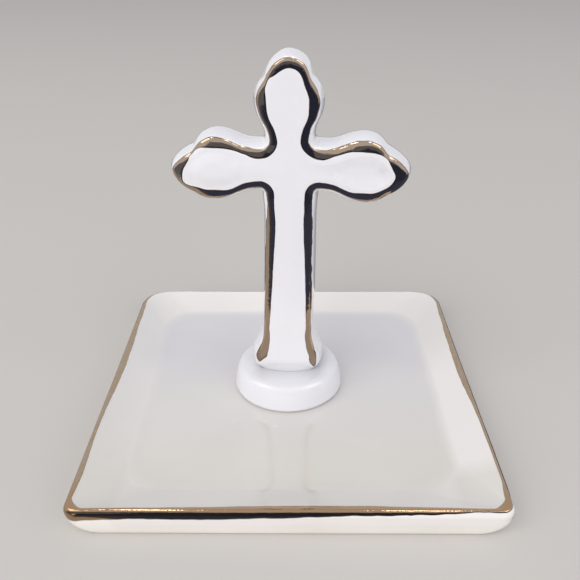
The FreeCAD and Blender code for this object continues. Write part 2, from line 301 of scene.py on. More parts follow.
def through(points, steps):
    """A smooth curve through the given points, with the same number of steps in each span."""
    points = np.asarray(points, float)
    padded = np.vstack([2 * points[0] - points[1], points, 2 * points[-1] - points[-2]])
    curve = []
    for before, start, end, after in zip(padded, padded[1:], padded[2:], padded[3:]):
        for part in np.arange(steps) / steps:
            curve.append(0.5 * (2 * start + (end - before) * part
                                + (2 * before - 5 * start + 4 * end - after) * part ** 2
                                + (3 * start - before - 3 * end + after) * part ** 3))
    curve.append(points[-1])
    return np.array(curve)


def bend(start, end, bulge, parts):
    """Points at the given parts of an arc between two points, all as complex numbers."""
    if not bulge:
        return start + (end - start) * parts
    turn = 4j * math.atan(bulge)
    return start + (end - start) * (np.exp(turn * parts) - 1) / (np.exp(turn) - 1)


def run_along(corners, counts):
    """Points along a run of lines and arcs; each corner carries the bulge of what follows it."""
    runs = []
    for (start, bulge), (end, _), count in zip(corners, corners[1:], counts):
        runs.append(bend(start, end, bulge, np.arange(count) / count))
    return np.concatenate(runs)


def rounded(half_x, half_y, front_corner, back_corner):
    """Corners of a rounded oblong seen from above, from the right end of its front, each with its bulge."""
    corners = []
    for x, y in ((1, -1), (1, 1), (-1, 1), (-1, -1)):
        corner = front_corner if y < 0 else back_corner
        ends = [complex(x * (half_x - corner), y * half_y), complex(x * half_x, y * (half_y - corner))]
        first, last = ends if x != y else reversed(ends)
        corners += [(first, QUARTER_TURN), (last, 0)]
    return corners


def soften(loop, passes):
    """A closed loop of points with its sharp turns eased."""
    for _ in range(passes):
        loop = 0.5 * loop + 0.25 * (np.roll(loop, 1) + np.roll(loop, -1))
    return loop


def ripple(places, size, seed):
    """Smooth unevenness, about -1 to 1, at each place, with waves of the given size."""
    places = np.asarray(places, float).reshape(-1, 3)
    offset = Vector((seed * 7.31, seed * 3.17, seed * 5.83))
    return np.array([noise.noise(Vector(place) / size + offset) for place in places])


def brush_edge(places, seed):
    """The uneven edge that a brush leaves, in metres, at each place along it."""
    return (0.24 * ripple(places, 9 * MM, seed) + 0.16 * ripple(places, 2.6 * MM, seed + 1)
            + 0.07 * ripple(places, 0.9 * MM, seed + 2)) * MM


# Meshes


def grid_faces(rows, columns, first=0, wrap=True):
    """Four-sided faces between the rows of a grid of points."""
    around = columns if wrap else columns - 1
    return [(first + row * columns + column, first + row * columns + (column + 1) % columns,
             first + (row + 1) * columns + (column + 1) % columns, first + (row + 1) * columns + column)
            for row in range(rows - 1) for column in range(around)]


def grid_normals(grid, wrap):
    """Unit normals at the points of a grid."""
    across = np.gradient(grid, axis=0)
    if wrap:
        around = np.roll(grid, -1, axis=1) - np.roll(grid, 1, axis=1)
    else:
        around = np.gradient(grid, axis=1)
    normals = np.cross(around, across)
    return normals / np.maximum(np.linalg.norm(normals, axis=2, keepdims=True), 1e-12)


def painted_skin(base, outward, thickness, wrap):
    """A closed skin of paint on a grid of points, thickest in its middle, and its build at each point."""
    rows, columns = base.shape[:2]
    across = np.abs(np.linspace(-1, 1, rows))[:, None]
    along = np.ones((1, columns))
    if not wrap:
        along = 1 - np.abs(np.linspace(-1, 1, columns))[None, :] ** 60
    swell = (1 - across ** 10) * along
    build = (1 - across ** 3) * along
    top = base + outward * (thickness * (0.06 + 0.94 * swell))[:, :, None]
    under = base - outward * (0.6 * thickness)
    points = np.concatenate([top.reshape(-1, 3), under.reshape(-1, 3)])
    size = rows * columns
    faces = grid_faces(rows, columns, 0, wrap)
    faces += [tuple(reversed(face)) for face in grid_faces(rows, columns, size, wrap)]
    border = [(0, column) for column in range(columns)]
    if not wrap:
        border += [(row, columns - 1) for row in range(1, rows)]
    back = [(rows - 1, column) for column in range(columns - 1, -1, -1)]
    sides = [border, back] if wrap else [border + back[1:] + [(row, 0) for row in range(rows - 2, 0, -1)]]
    for side in sides:
        for (row, column), (next_row, next_column) in zip(side, side[1:] + side[:1]):
            start, end = row * columns + column, next_row * columns + next_column
            faces.append((end, start, start + size, end + size))
    return points, faces, np.concatenate([build.ravel(), np.zeros(size)])


def between_edges(travel, sheet, normals, first, last, rows):
    """Points on a sheet between two edges, given as travel along its columns, and the normals there."""
    points = np.empty((rows, sheet.shape[1], 3))
    outward = np.empty_like(points)
    for column in range(sheet.shape[1]):
        marks = np.linspace(first[column], last[column], rows)
        for axis in range(3):
            points[:, column, axis] = np.interp(marks, travel[:, column], sheet[:, column, axis])
            outward[:, column, axis] = np.interp(marks, travel[:, column], normals[:, column, axis])
    return points, outward / np.linalg.norm(outward, axis=2, keepdims=True)


def add_piece(name, points, faces, material, node, tint=None):
    """Makes a smooth closed piece that stands for a node of the solid model."""
    mesh = bpy.data.meshes.new(name)
    mesh.from_pydata([tuple(point) for point in points], [], faces)
    if tint is not None:
        build = mesh.attributes.new("build", "FLOAT", "POINT")
        build.data.foreach_set("value", np.asarray(tint, np.float32))
    work = bmesh.new()
    work.from_mesh(mesh)
    bmesh.ops.recalc_face_normals(work, faces=work.faces)
    if any(not edge.is_manifold for edge in work.edges):
        raise RuntimeError(name + " isn't closed")
    for face in work.faces:
        face.smooth = True
    work.to_mesh(mesh)
    work.free()
    mesh.materials.append(material)
    piece = bpy.data.objects.new(name, mesh)
    bpy.context.scene.collection.objects.link(piece)
    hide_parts(node)
    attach(piece, "root")
    return piece


def closed_rings(rings):
    """Points and faces of a stack of rings, with the first and the last closed by a fan of triangles."""
    surface = np.array(rings)
    rows, columns = surface.shape[:2]
    size = rows * columns
    points = np.vstack([surface.reshape(-1, 3), surface[0].mean(axis=0), surface[-1].mean(axis=0)])
    faces = grid_faces(rows, columns)
    for start, centre in ((0, size), (size - columns, size + 1)):
        faces += [(start + column, start + (column + 1) % columns, centre) for column in range(columns)]
    return points, faces


# Finishes


class Finish:
    """A node material that is wired up around one shader."""

    def __init__(self, name):
        self.material = bpy.data.materials.new(name)
        self.material.use_nodes = True
        self.tree = self.material.node_tree
        self.tree.nodes.clear()
        output = self.tree.nodes.new("ShaderNodeOutputMaterial")
        self.shader = self.tree.nodes.new("ShaderNodeBsdfPrincipled")
        self.tree.links.new(self.shader.outputs["BSDF"], output.inputs["Surface"])
        self.place = self.add("TexCoord").outputs["Object"]

    def add(self, kind, inputs=None, **settings):
        """A new node with its settings, and a number or a link at each named input."""
        made = self.tree.nodes.new("ShaderNode" + kind)
        for key, value in settings.items():
            setattr(made, key, value)
        self.set(made, inputs or {})
        return made

    def set(self, made, inputs):
        """Puts a number or a link at each named input of a node."""
        for key, value in inputs.items():
            if isinstance(value, bpy.types.NodeSocket):
                self.tree.links.new(value, made.inputs[key])
            else:
                made.inputs[key].default_value = value

    def noise(self, wave, detail=2.0):
        """Noise with waves of the given size in metres."""
        return self.add("TexNoise", {"Vector": self.place, "Scale": 1 / wave, "Detail": detail}).outputs[0]

    def span(self, value, low, high, to_low=0.0, to_high=1.0):
        """A value mapped from one span to another, and held there."""
        return self.add("MapRange", {"Value": value, "From Min": low, "From Max": high,
                                     "To Min": to_low, "To Max": to_high}).outputs[0]

    def parts(self, vector):
        """The three parts of a vector."""
        return self.add("SeparateXYZ", {0: vector}).outputs

    def sums(self, operation, *values):
        """Values joined by one operation, each to the result of those before it."""
        total = values[0]
        for value in values[1:]:
            total = self.add("Math", {0: total, 1: value}, operation=operation).outputs[0]
        return total

    def blend(self, factor, first, second):
        """One colour turning into another."""
        def level(value):
            return value if isinstance(value, bpy.types.NodeSocket) else (*value, 1)
        return self.add("Mix", {0: factor, 6: level(first), 7: level(second)}, data_type="RGBA").outputs[2]

    def bump(self, height, strength, depth, normal=None):
        """Relief from a height, with its depth in metres."""
        inputs = {"Height": height, "Strength": strength, "Distance": depth}
        if normal is not None:
            inputs["Normal"] = normal
        return self.add("Bump", inputs).outputs[0]


def darker(tone, level):
    """A colour brought down to a share of its level."""
    return tuple(level * part for part in tone)


def tray_pool_and_shade(made, across, along, height, upward):
    """Where the tray's glaze is darker cream, from 0 to 1: pooled glaze on the floor, and painted shade on
    its slopes and low on its wall.
    """
    floor = made.span(height, 3.85 * MM, 5.0 * MM, 1.0, 0.0)
    # Painted shade: the front, front right and left slopes turn darker cream where less light falls on them.
    front = made.sums("MULTIPLY", made.span(along, -28 * MM, -41 * MM, 0.0, 0.82),
                      made.span(across, 28 * MM, 40 * MM, 1.0, 0.7))
    front_right = made.sums("MULTIPLY", made.span(across, 30 * MM, 41 * MM, 0.0, 0.85),
                            made.span(along, -26 * MM, -38 * MM))
    left = made.sums("MULTIPLY", made.span(across, -28 * MM, -41 * MM, 0.0, 0.8),
                     made.span(along, 0.0, 30 * MM, 1.0, 0.7), made.span(along, -20 * MM, -40 * MM, 1.0, 1.2))
    inside = made.sums("MULTIPLY", made.sums("MAXIMUM", floor, front, front_right, left),
                       made.span(upward, 0.5, 0.9))
    # Painted shade low on the outer wall, darkest towards its foot.
    wall = made.sums("MULTIPLY", made.span(upward, 0.3, 0.6, 1.0, 0.0),
                     made.span(height, 1.0 * MM, 4.5 * MM, 0.85, 0.45))
    return made.sums("MAXIMUM", inside, wall)


def joint_painted_shade(made, across, along, height):
    """Painted shade in the joint of the cross and the pedestal, from 0 to 1."""
    pool_and_shade = made.sums("MULTIPLY", made.span(height, CROSS_LOW.z, CROSS_LOW.z + 3.6 * MM, 0.95, 0.0),
                     made.span(height, PEDESTAL_HIGH.z - 0.5 * MM, PEDESTAL_HIGH.z))
    middle = (CROSS_LOW.y + CROSS_HIGH.y) / 2
    for place, centre, reach, fade in ((across, 0.0, 8 * MM, 3 * MM), (along, middle, 5.6 * MM, 4.6 * MM)):
        away = made.sums("ABSOLUTE", made.sums("SUBTRACT", place, centre), 0.0)
        pool_and_shade = made.sums("MULTIPLY", pool_and_shade, made.span(away, reach, reach + fade, 1.0, 0.0))
    return pool_and_shade


def glaze_finish(name, thin, thick, cool=None, bare=None):
    """Glossy glaze: cloudy white with fine orange peel and a few pinholes, a little darker on sharp edges and
    where it has pooled, with painted shade in the joint of cross and pedestal and on the tray's slopes and
    low wall.
    With a cooler tone, a painted cast of bluish light towards the back, and a tone of bare clay, it is the
    tray's."""
    made = Finish(name)
    across, along, height = made.parts(made.place)
    cloud = made.noise(26 * MM, 3.0)
    if bare:
        upward = made.parts(made.add("NewGeometry").outputs["Normal"])[2]
        # The tray's pooled glaze on its floor, and painted shade on its slopes and low wall.
        pool_and_shade = tray_pool_and_shade(made, across, along, height, upward)
        # The tray's cream turns cooler towards the back: a painted cast of the bluish light there.
        thick = made.blend(made.span(along, -35 * MM, 20 * MM), thick, cool)
        cloud = made.sums("ADD", made.sums("MULTIPLY", cloud, 0.25), made.sums("MULTIPLY", pool_and_shade, 0.5))
    mottle = made.noise(5 * MM, 3.0)
    peel = made.noise(1.5 * MM)
    swell = made.noise(9 * MM, 1.0)
    tone = made.blend(made.span(cloud, 0.36, 0.64), thin, thick)
    edge = made.span(made.add("NewGeometry").outputs["Pointiness"], 0.515, 0.56, 0.0, 0.35)
    tone = made.blend(edge, tone, darker(thin, 0.96))
    cells = made.add("TexVoronoi", {"Vector": made.place, "Scale": 1 / (7 * MM)})
    chance = made.add("SeparateColor", {0: cells.outputs["Color"]}).outputs[0]
    hole = made.sums("MULTIPLY", made.span(cells.outputs["Distance"], 0.018, 0.034, 1.0, 0.0),
                     made.sums("GREATER_THAN", chance, 0.72))
    tone = made.blend(made.sums("MULTIPLY", hole, 0.35), tone, (0.42, 0.36, 0.30))
    rough = made.span(mottle, 0.3, 0.7, 0.07, 0.15)
    if bare:
        under = made.span(upward, -0.97, -0.9, 1.0, 0.0)
        tone = made.blend(under, tone, made.blend(made.noise(0.5 * MM), darker(bare, 0.86), bare))
        rough = made.sums("MAXIMUM", rough, made.sums("MULTIPLY", under, 0.8))
    else:
        # Painted shade in the joint of cross and pedestal, in a darker tone of the thicker glaze.
        tone = made.blend(joint_painted_shade(made, across, along, height), tone, darker(thick, 0.80))
    normal = made.bump(swell, 0.25, 0.10 * MM)
    normal = made.bump(peel, 0.12, 0.04 * MM, normal)
    normal = made.bump(made.sums("SUBTRACT", 1.0, hole), 0.6, 0.08 * MM, normal)
    made.set(made.shader, {"Base Color": tone, "Roughness": rough, "Normal": normal, "IOR": 1.52,
                           "Coat Weight": 0.35, "Coat Roughness": 0.04})
    return made.material


def gold_finish(name, bright, worn):
    """Painted gold lustre: mirror bright, finely brushed, freckled and a little duller where it is thin."""
    made = Finish(name)
    build = made.add("Attribute", attribute_name="build").outputs["Fac"]
    patch = made.noise(3.2 * MM, 3.0)
    streak = made.noise(0.7 * MM, 2.0)
    # Low build gives the worn tone; on the rim's sides the build is lowered to paint a pale reflection there.
    thin = made.span(made.sums("ADD", build, made.span(patch, 0.3, 0.7, -0.2, 0.2)), 0.10, 0.55, 1.0, 0.0)
    tone = made.blend(thin, bright, worn)
    freckle = made.span(made.noise(0.45 * MM, 2.0), 0.60, 0.70, 0.0, 0.5)
    tone = made.blend(made.sums("MULTIPLY", freckle, thin), tone, (0.10, 0.06, 0.03))
    rough = made.sums("ADD", made.span(streak, 0.3, 0.7, 0.04, 0.09), made.sums("MULTIPLY", thin, 0.10))
    normal = made.bump(patch, 0.45, 0.14 * MM)
    normal = made.bump(streak, 0.30, 0.05 * MM, normal)
    made.set(made.shader, {"Base Color": tone, "Metallic": 1.0, "Roughness": rough, "Normal": normal})
    return made.material


def bond_finish(name, tone):
    """Dried adhesive: cloudy and satin."""
    made = Finish(name)
    cloud = made.noise(2.0 * MM, 3.0)
    made.set(made.shader, {
        "Base Color": made.blend(cloud, darker(tone, 0.8), tone),
        "Roughness": made.span(cloud, 0.3, 0.7, 0.30, 0.45),
        "Normal": made.bump(cloud, 0.4, 0.05 * MM),
    })
    return made.material


def shared(name, make, *tones):
    """The finish of that name, made once and then shared."""
    return bpy.data.materials.get(name) or make(name, *[tuple(tone) for tone in tones])


# Tray


def square_loop(half, front_corner, back_corner):
    """A rounded square seen from above, from the middle of its front round to the left."""
    middle = (complex(0, -half), 0)
    corners = [middle, *rounded(half, half, front_corner, back_corner), middle]
    half_side, turn, side = 44, 22, 84
    return run_along(corners, (half_side, turn, side, turn, side, turn, side, turn, half_side))


def tray_surface(size):
    """Rings of points from the middle of the underside, over the rim, to the middle of the floor, and which
    ring is the crest."""
    half, top, level = TRAY_HIGH.x, TRAY_HIGH.z, size.floor_level
    crest, cove = size.crest_width, size.cove_width
    foot, turn, side = half - size.wall_lean, size.foot_round, size.wall_lean
    inside = half - crest
    floor = inside - cove
    drop = top - level
    profile = [
        (0.1 * half, 0), (0.6 * half, 0), (foot - 2.2 * turn, 0), (foot - turn, 0.02 * turn),
        (foot - 0.3 * turn, 0.3 * turn), (foot, turn), (foot + 0.55 * side, 0.45 * top),
        (foot + 0.9 * side, 0.68 * top), (half, 0.83 * top), (half - 0.16 * crest, 0.94 * top),
        (half - 0.5 * crest, top), (inside + 0.05 * crest, top - 0.10 * drop),
        (inside - 0.16 * cove, top - 0.30 * drop), (inside - 0.42 * cove, top - 0.58 * drop),
        (inside - 0.64 * cove, top - 0.80 * drop), (inside - 0.81 * cove, top - 0.93 * drop),
        (floor, level + 0.015 * drop), (floor - 0.25 * cove, level), (0.5 * half, level), (0.1 * half, level),
    ]
    steps = 5
    crest_row = 10 * steps
    least_corner = 0.8 * MM
    rings = []
    for row, (reach, height) in enumerate(through(profile, steps)):
        height = max(height, 0)
        inset = half - reach
        up = (1 - (1 - min(height / (0.75 * top), 1)) ** 2) ** 0.5
        ease = smooth_step(0, crest + 0.7 * cove, inset)
        corners = []
        for corner in (size.front_corner, size.back_corner):
            if row <= crest_row:
                corner = size.base_corner + (corner - inset - size.base_corner) * up
            else:
                corner = corner - 0.4 * inset + (size.floor_corner - corner + 0.4 * inset) * ease
            corners.append(min(max(corner, least_corner), 0.6 * reach))
        loop = square_loop(reach, *corners)
        rings.append(np.stack([loop.real, loop.imag, np.full(loop.shape, height)], axis=1))
    return set_tray_by_hand(np.array(rings), size), crest_row


def set_tray_by_hand(surface, size):
    """The small unevenness of a tray that was cast, sponged and glazed by hand."""
    flat = surface.reshape(-1, 3).copy()
    around = flat * [1, 1, 0]
    half, top = TRAY_HIGH.x, TRAY_HIGH.z
    reach = np.max(np.abs(flat[:, :2]), axis=1) / half
    up = flat[:, 2] / top
    edge = smooth_step(0.75, 0.98, reach)
    swell = ripple(around, 42 * MM, 1) - 0.7
    draw_in = edge * size.side_wave * 0.5 * swell / half
    sink = smooth_step(0.55, 1.0, up) * size.rim_wave * 0.5 * (ripple(around, 30 * MM, 2) - 1.0)
    floor = smooth_step(0.92, 0.80, reach) * (up > 0.3) * size.floor_wave * ripple(around, 16 * MM, 3)
    flat[:, :2] *= (1 + draw_in)[:, None]
    flat[:, 2] += sink + floor
    return flat.reshape(surface.shape)


def tray_gold_edges(size, places):
    """How far the gold runs inside and outside the crest at each place round the rim."""
    x, y = places[:, 0] / TRAY_HIGH.x, places[:, 1] / TRAY_HIGH.x
    front = smooth_step(-0.80, -0.97, y)
    back = smooth_step(0.80, 0.97, y)
    left, right = (smooth_step(0.80, 0.97, side * x) * (1 - front) * (1 - back) for side in (-1, 1))
    left_corner = front * smooth_step(-0.72, -0.97, x)
    right_end = smooth_step(0.9, 1.0, x) * (1 - front)
    narrowing = front * (0.56 * smooth_step(-0.5, 0.7, x) + 0.26 * smooth_step(0.55, 0.9, x))
    outside = size.gold_outside * (1 + 0.3 * left_corner - narrowing - 0.62 * right_end - 0.3 * back)
    along_front = front * (0.5 - 0.35 * x ** 2 + 0.5 * smooth_step(0.0, 0.5, x))
    along_left = left * (0.4 * smooth_step(-0.55, -0.85, y) - 0.4 * np.exp(-((y + 0.35) / 0.25) ** 2))
    along_right = 0.45 * right * smooth_step(0.05, -0.3, y) * smooth_step(-0.92, -0.75, y)
    inside = size.gold_inside * (1 - 1.2 * back + along_front + along_left - along_right)
    return inside + 0.9 * brush_edge(places, 11), outside + 1.2 * brush_edge(places, 21)


def rim_gold_sheet(surface, crest_row, inside, outside):
    """Points on the tray's surface between the gold's two edges, and the normals there."""
    steps = np.linalg.norm(np.diff(surface, axis=0), axis=2)
    travel = np.vstack([np.zeros((1, surface.shape[1])), np.cumsum(steps, axis=0)])
    travel -= travel[crest_row]
    return between_edges(travel, surface, grid_normals(surface, True), -outside, inside, RIM_GOLD_ROWS)


class RINGDISH_OT_tray(bpy.types.Operator):
    """Make the glazed tray."""
    bl_idname = "ring_dish.tray"
    bl_label = "Make Tray"

    def execute(self, context):
        settings = context.scene.ring_dish
        surface, _ = tray_surface(settings.tray)
        points, faces = closed_rings(surface)
        finish = settings.finish
        glaze = shared("tray_glaze", glaze_finish, finish.tray_white, finish.tray_cream,
                       finish.tray_cool, finish.bare_clay)
        add_piece("glazed_tray", points, faces, glaze, "dish")
        return {"FINISHED"}


class RINGDISH_OT_tray_gold(bpy.types.Operator):
    """Paint the gold on the tray's rim."""
    bl_idname = "ring_dish.tray_gold"
    bl_label = "Paint Tray Gold"

    def execute(self, context):
        settings = context.scene.ring_dish
        surface, crest_row = tray_surface(settings.tray)
        inside, outside = tray_gold_edges(settings.tray, surface[crest_row])
        base, outward = rim_gold_sheet(surface, crest_row, inside, outside)
        points, faces, tint = painted_skin(base, outward, settings.tray.gold_thickness, True)
        x, y = np.abs(points[:, 0]) / TRAY_HIGH.x, points[:, 1] / TRAY_HIGH.x
        # Less build on the rim's sides, so that the paler worn tone there is a painted reflection of the
        # bluish surroundings.
        tint *= 1 - 0.75 * smooth_step(0.85, 0.97, x) * smooth_step(-0.95, -0.80, y)
        gold = shared("painted_rim_gold", gold_finish, settings.finish.rim_gold, settings.finish.rim_worn_and_reflected)
        add_piece("painted_tray_rim", points, faces, gold, "dish_gold_rim", tint)
        return {"FINISHED"}


# Pedestal and bonds


def turned(profile, centre, columns, wobble, seed):
    """Points and faces of a turned form, a little out of true, with its two ends closed."""
    turns = np.arange(columns) * 2 * math.pi / columns
    ring = np.stack([np.cos(turns), np.sin(turns), np.zeros(columns)], axis=1)
    around = 12 * MM * ring
    widest = max(radius for radius, _ in profile)
    rings = []
    for radius, height in profile:
        stray = wobble * smooth_step(0.3, 1, radius / widest)
        spread = radius + stray * (ripple(around + [0, 0, height], 11 * MM, seed) - 0.5)
        rings.append(ring * spread[:, None] + [centre[0], centre[1], height])
    return closed_rings(rings)


class RINGDISH_OT_pedestal(bpy.types.Operator):
    """Make the round pedestal."""
    bl_idname = "ring_dish.pedestal"
    bl_label = "Make Pedestal"

    def execute(self, context):
        settings = context.scene.ring_dish
        size = settings.pedestal
        low, high = PEDESTAL_LOW, PEDESTAL_HIGH
        radius = (high.x - low.x) / 2
        tall = high.z - low.z
        foot, top = radius - size.foot_inset, radius - size.top_inset
        profile = through([
            (0.1 * radius, low.z), (0.6 * radius, low.z), (foot - 0.06 * radius, low.z),
            (foot + 0.2 * size.foot_inset, low.z + 0.02 * tall),
            (foot + 0.75 * size.foot_inset, low.z + 0.06 * tall),
            *[(radius - inset * size.top_inset, low.z + up * tall) for inset, up in PEDESTAL_SIDE],
            (top, high.z - 0.001 * tall), (0.8 * top, high.z), (0.4 * top, high.z), (0.08 * top, high.z),
        ], steps=5)
        points, faces = turned(profile, (low + high) / 2, columns=144, wobble=size.wobble, seed=5)
        finish = settings.finish
        glaze = shared("cross_glaze", glaze_finish, finish.cross_white, finish.cross_cool)
        add_piece("glazed_pedestal", points, faces, glaze, "pedestal")
        return {"FINISHED"}


class RINGDISH_OT_bonds(bpy.types.Operator):
    """Make the thin bonds under the pedestal and under the cross."""
    bl_idname = "ring_dish.bonds"
    bl_label = "Make Bonds"

    def execute(self, context):
        settings = context.scene.ring_dish
        finish = shared("bond_adhesive", bond_finish, settings.finish.bond)
        low, high = PEDESTAL_BOND_LOW, PEDESTAL_BOND_HIGH
        radius = (high.x - low.x) / 2
        profile = through([(part * radius, low.z + up * (high.z - low.z)) for part, up in BEAD], steps=3)
        wobble = settings.pedestal.bond_wobble
        points, faces = turned(profile, (low + high) / 2, columns=96, wobble=wobble, seed=8)
        add_piece("pedestal_adhesive", points, faces, finish, "pedestal_bond")
        points, faces = self.cross_bed()
        add_piece("cross_adhesive", points, faces, finish, "cross_bond")
        return {"FINISHED"}

    def cross_bed(self):
        """Points and faces of the oblong bond under the cross."""
        low, high = CROSS_BOND_LOW, CROSS_BOND_HIGH
        centre = (low + high) / 2
        half = (high - low) / 2
        corner = 0.35 * half.y
        corners = rounded(half.x, half.y, corner, corner)
        turn, end, side = 8, 10, 24
        outline = run_along(corners + corners[:1], (turn, end, turn, side) * 2)
        oblong = np.stack([outline.real, outline.imag, np.zeros(len(outline))], axis=1)
        rings = []
        for part, up in through(BEAD, steps=3):
            ring = oblong * part
            ring *= (1 + 0.04 * (ripple(ring, 3 * MM, 9) - 1.0))[:, None]
            rings.append(ring + [centre.x, centre.y, low.z + up * (high.z - low.z)])
        return closed_rings(rings)


# Cross


def arm_corners(size, reach, inset, low_cut, high_cut):
    """One arm, from its right inner corner round its tip to its left, its two notches cut to their shares."""
    lobe_run = reach - size.lobe_back
    neck, lobe = size.neck_half - inset, size.lobe_half - inset
    bend_run, bend_half = (size.corner_run + lobe_run) / 2, (neck + lobe) / 2
    notch_run = reach - size.notch_back - 0.45 * inset
    fade = 1 - 0.6 * smooth_step(0.4 * size.face_inset, size.face_inset, inset)
    low, high = (size.notch_half - 0.75 * inset + (1 - cut * fade) * 0.9 * MM for cut in (low_cut, high_cut))
    return [
        (complex(size.corner_run, -neck), -FLANK_BULGE),
        (complex(bend_run, -bend_half), FLANK_BULGE),
        (complex(lobe_run, -lobe), LOBE_BULGE),
        (complex(notch_run, -low), TIP_BULGE),
        (complex(reach - 1.1 * inset, 0), TIP_BULGE),
        (complex(notch_run, high), LOBE_BULGE),
        (complex(lobe_run, lobe), FLANK_BULGE),
        (complex(bend_run, bend_half), -FLANK_BULGE),
        (complex(size.corner_run, neck), -QUARTER_TURN),
    ]


def cross_side(size, inset, cuts, counts):
    """The right side of the cross from the front, drawn in by an inset, from its foot to its tip."""
    axis = 1j * size.axis_height
    lift = size.foot_bevel * smooth_step(size.band_inset, size.face_inset, inset)
    bottom = CROSS_LOW.z + lift + 0.8 * max(inset - size.face_inset, 0)
    foot = size.foot_half - 1.2 * inset
    turn = size.foot_round
    corner_height = size.axis_height - size.corner_run - size.neck_half + size.stem_top_half
    under, over, tip = cuts
    top = arm_corners(size, CROSS_HIGH.z - size.axis_height, inset, tip, tip)
    side = [
        (complex(foot - turn, bottom), QUARTER_TURN),
        (complex(foot, bottom + turn), 0),
        (complex(foot, size.flare_foot), -FLANK_BULGE),
        (complex(size.stem_low_half - 0.6 * inset, size.flare_top), 0),
        (complex(size.stem_top_half - inset, corner_height), -QUARTER_TURN),
        *[(axis + corner, bulge) for corner, bulge in arm_corners(size, CROSS_HIGH.x, inset, under, over)],
        *[(axis + 1j * corner, bulge) for corner, bulge in top[:5]],
    ]
    if counts is None:
        step = 0.5 * MM
        counts = [max(5, round(abs(end - start) / step)) for (start, _), (end, _) in zip(side, side[1:])]
    return run_along(side, counts), side[-1][0], counts


def cross_loop(size, inset, counts=None):
    """The cross from the front, drawn in by an inset: up its right side, down its left, along its foot. Also
    the counts of its points, and how many of them the gold may follow."""
    right, tip, counts = cross_side(size, inset, RIGHT_NOTCHES, counts)
    left, _, _ = cross_side(size, inset, LEFT_NOTCHES, counts)
    left = -np.conj(left[::-1])
    base = np.linspace(left[-1], right[0], 32)[1:-1]
    return np.concatenate([right, [tip], left, base]), counts, len(right) * 2 + 1


def round_foot(points, size):
    """The rounded lower edge of the foot, fullest in its middle, which sinks into the pedestal's glaze."""
    middle = (CROSS_LOW.y + CROSS_HIGH.y) / 2
    across = points[..., 0] / size.foot_half
    ahead = (points[..., 1] - middle) / (CROSS_HIGH.y - middle)
    low = smooth_step(CROSS_LOW.z + size.edge_height, CROSS_LOW.z, points[..., 2])
    low = low * smooth_step(0.6, 0.85, np.maximum(np.abs(across), np.abs(ahead)))
    moved = points.copy()
    moved[..., 0] -= 0.5 * size.foot_edge * low ** 2 * across ** 3
    moved[..., 1] -= size.foot_edge * low ** 3 * ahead * (2.3 * np.clip(across, -1, 1) ** 2 - 0.6)
    moved[..., 2] -= (CROSS_LOW.z - PEDESTAL_HIGH.z - 0.02 * MM) * low ** 6
    return moved


def nearness(x, z, spot_x, spot_z, spread):
    """How near each place on the cross lies to a spot given in millimetres, from 0 to 1."""
    return np.exp(-((x - spot_x * MM) ** 2 + (z - spot_z * MM) ** 2) / (spread * MM) ** 2)


def set_cross_by_hand(points, size):
    """The slight twist, bow, droop, lean and uneven outline of a cross that was cast and set by hand."""
    centre = (CROSS_LOW.y + CROSS_HIGH.y) / 2
    x, ahead, z = points[..., 0], points[..., 1] - centre, points[..., 2]
    shift = (size.arm_shift * rise(40, 60, z)
             - size.foot_shift * rise(45, 14, z)
             - (size.top_shift + size.arm_shift) * rise(76, 90, z))
    bow = size.stem_bow * rise(23, 40, z) * rise(66, 43, z)
    moved = points.copy()
    moved[..., 0] = x * math.cos(size.twist) + ahead * math.sin(size.twist) + shift
    moved[..., 1] = centre + ahead * math.cos(size.twist) - x * math.sin(size.twist) + bow
    moved[..., 2] = z - size.arm_droop * x * rise(40, 58, z)
    for spot_x, spot_z, spread, push_x, push_z in PUSHES:
        near = nearness(x, z, spot_x, spot_z, spread)
        moved[..., 0] += push_x * MM * near
        moved[..., 2] += push_z * MM * near
    return moved


def facing_up(loop):
    """How far the outside of a closed loop faces up at each of its points, from 0 to 1."""
    along = np.roll(loop, -1) - np.roll(loop, 1)
    outward = -1j * along / np.maximum(np.abs(along), 1e-9)
    return soften(np.maximum(outward.imag, 0), passes=6)


def cross_surface(size):
    """Rings of points from the front face, round the side, to the back face, with each ring's inset and how
    many points of a ring the gold may follow."""
    depth = (CROSS_HIGH.y - CROSS_LOW.y) / 2
    middle = (CROSS_HIGH.y + CROSS_LOW.y) / 2
    face, band = size.face_inset, size.band_inset
    front = [
        (face + 1.2 * MM, depth), (face + 0.5 * MM, 0.995 * depth), (face, 0.987 * depth),
        (0.66 * face + 0.34 * band, 0.972 * depth), (0.3 * face + 0.7 * band, 0.952 * depth),
        (band, 0.920 * depth), (0.55 * band, 0.79 * depth), (0.26 * band, 0.54 * depth),
        (0.08 * band, 0.26 * depth), (0, 0),
    ]
    profile = through(front + [(inset, -ahead) for inset, ahead in reversed(front[:-1])], steps=4)
    counts = None
    rings = []
    for inset, ahead in profile:
        loop, counts, painted = cross_loop(size, max(inset, 0), counts)
        loop = soften(loop, passes=2)
        across, up = loop.real, loop.imag - size.axis_height
        lean = size.band_lean * max(face - inset, 0) * smooth_step(0, 0.6 * depth, ahead) * facing_up(loop)
        lean *= 1 - 1.7 * rise(14, 22, up)
        lean *= 1 + rise(4, 8, across) * (0.4 - 1.1 * rise(13, 20, across))
        rings.append(np.stack([loop.real, middle - ahead + lean, loop.imag], axis=1))
    return set_cross_by_hand(round_foot(np.array(rings), size), size), profile, painted


